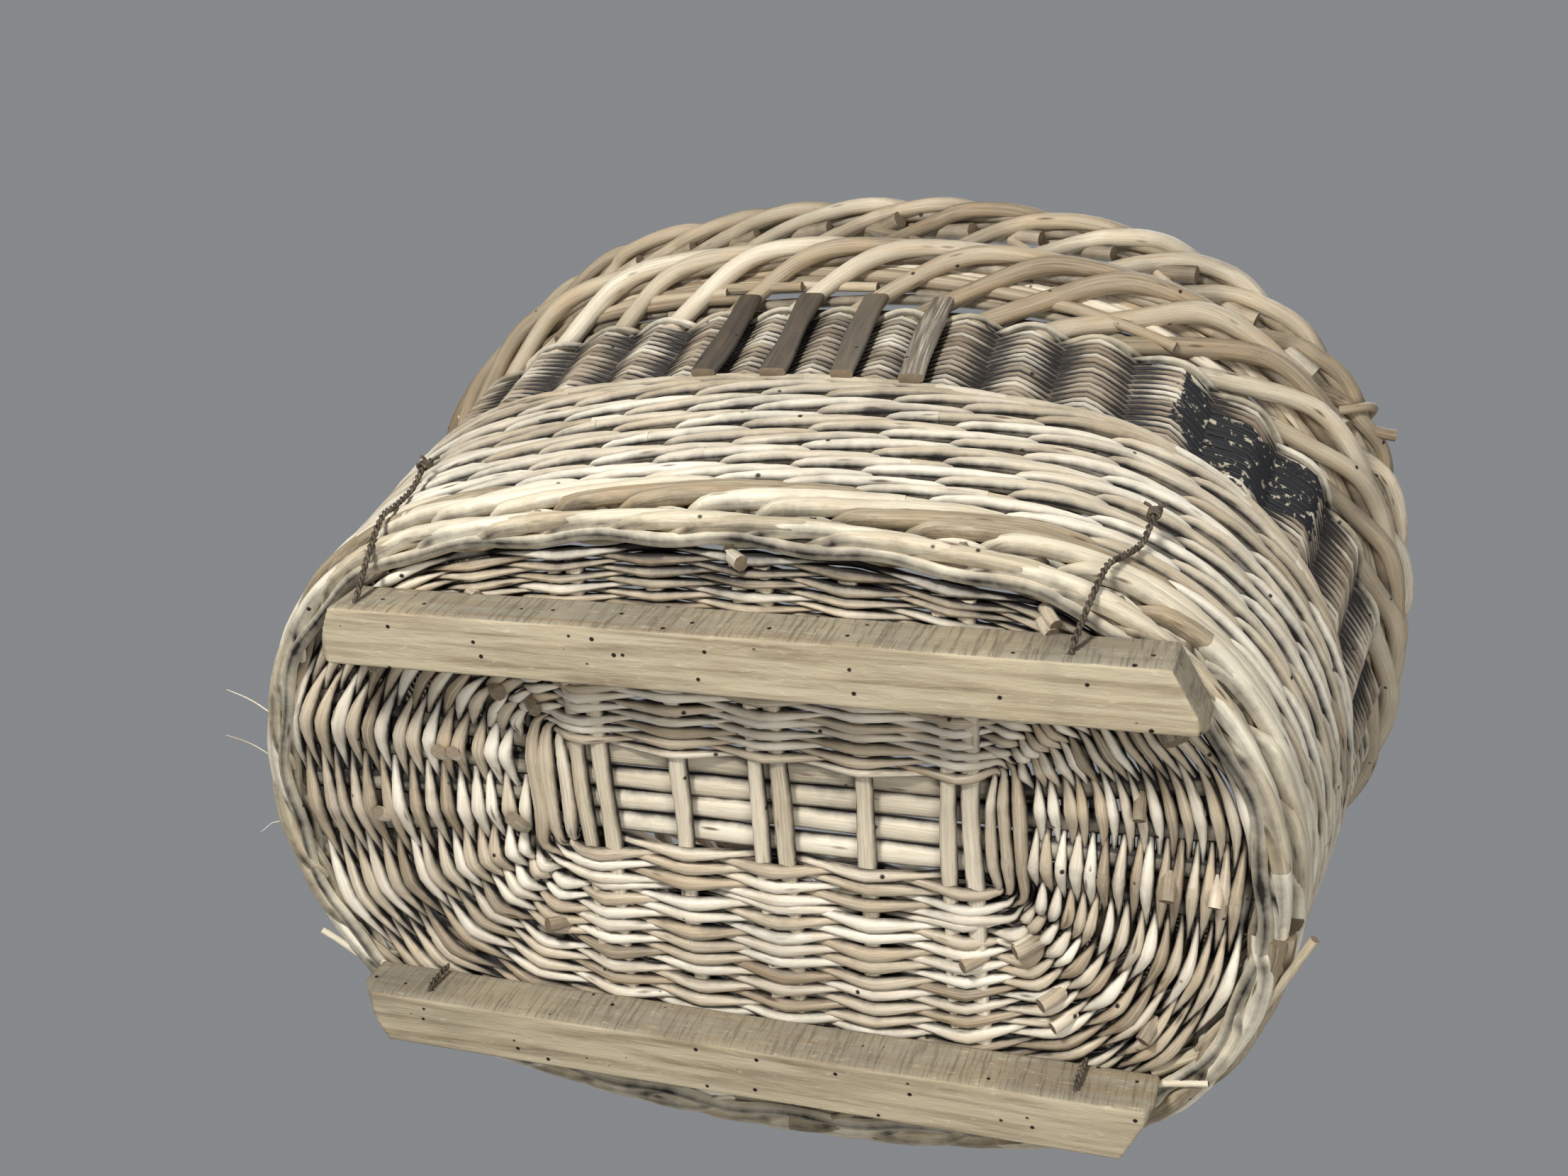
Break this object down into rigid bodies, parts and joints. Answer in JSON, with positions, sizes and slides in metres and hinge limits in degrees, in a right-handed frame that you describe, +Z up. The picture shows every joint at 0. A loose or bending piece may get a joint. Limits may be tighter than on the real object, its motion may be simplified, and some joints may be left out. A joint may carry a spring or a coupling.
{
  "type": "wicker log basket",
  "caption": "Large oval wicker log basket with an openwork border, standing on two wooden runners wired to its woven base.",
  "frame": {"origin": "middle of the footprint's box, on the ground under the runners", "axes": "+Z up, +X along the length, -Y the front, which has the dark flat sticks"},
  "size_m": [0.8058, 0.6396, 0.4869],
  "materials": {
    "runner_wood": "sawn, weathered",
    "tie_wire": "rusted",
    "base_stick": "split, weathered",
    "base_willow": "weathered, grimy",
    "wall_willow": "peeled willow, weathered",
    "border_willow": "peeled willow, weathered",
    "grey_stick": "split, grey"
  },
  "bodies": {
    "root": {"runner_front": "runner_wood", "runner_rear": "runner_wood", "tie_front_left": "tie_wire", "tie_front_right": "tie_wire", "tie_rear_left": "tie_wire", "tie_rear_right": "tie_wire", "long_stick_1": "base_stick", "long_stick_2": "base_stick", "long_stick_3": "base_stick", "long_stick_4": "base_stick", "short_stick_1": "base_stick", "short_stick_2": "base_stick", "short_stick_3": "base_stick", "short_stick_4": "base_stick", "short_stick_5": "base_stick", "short_stick_6": "base_stick", "short_stick_7": "base_stick", "short_stick_8": "base_stick", "base_weave": "base_willow", "foot_wale": "wall_willow", "wall_wale": "wall_willow", "fine_weave": "wall_willow", "pairing": "wall_willow", "stakes_rear_right": "border_willow", "stakes_rear_left": "border_willow", "stakes_front_left": "border_willow", "stakes_front_right": "border_willow", "front_ring": "border_willow", "rods_rear_right": "border_willow", "rods_rear_left": "border_willow", "rods_front_left": "border_willow", "rods_front_right": "border_willow", "rim_border": "border_willow", "rim_loop": "border_willow", "flat_stick_1": "grey_stick", "flat_stick_2": "grey_stick", "flat_stick_3": "grey_stick", "flat_stick_4": "grey_stick"}
  },
  "joints": []
}
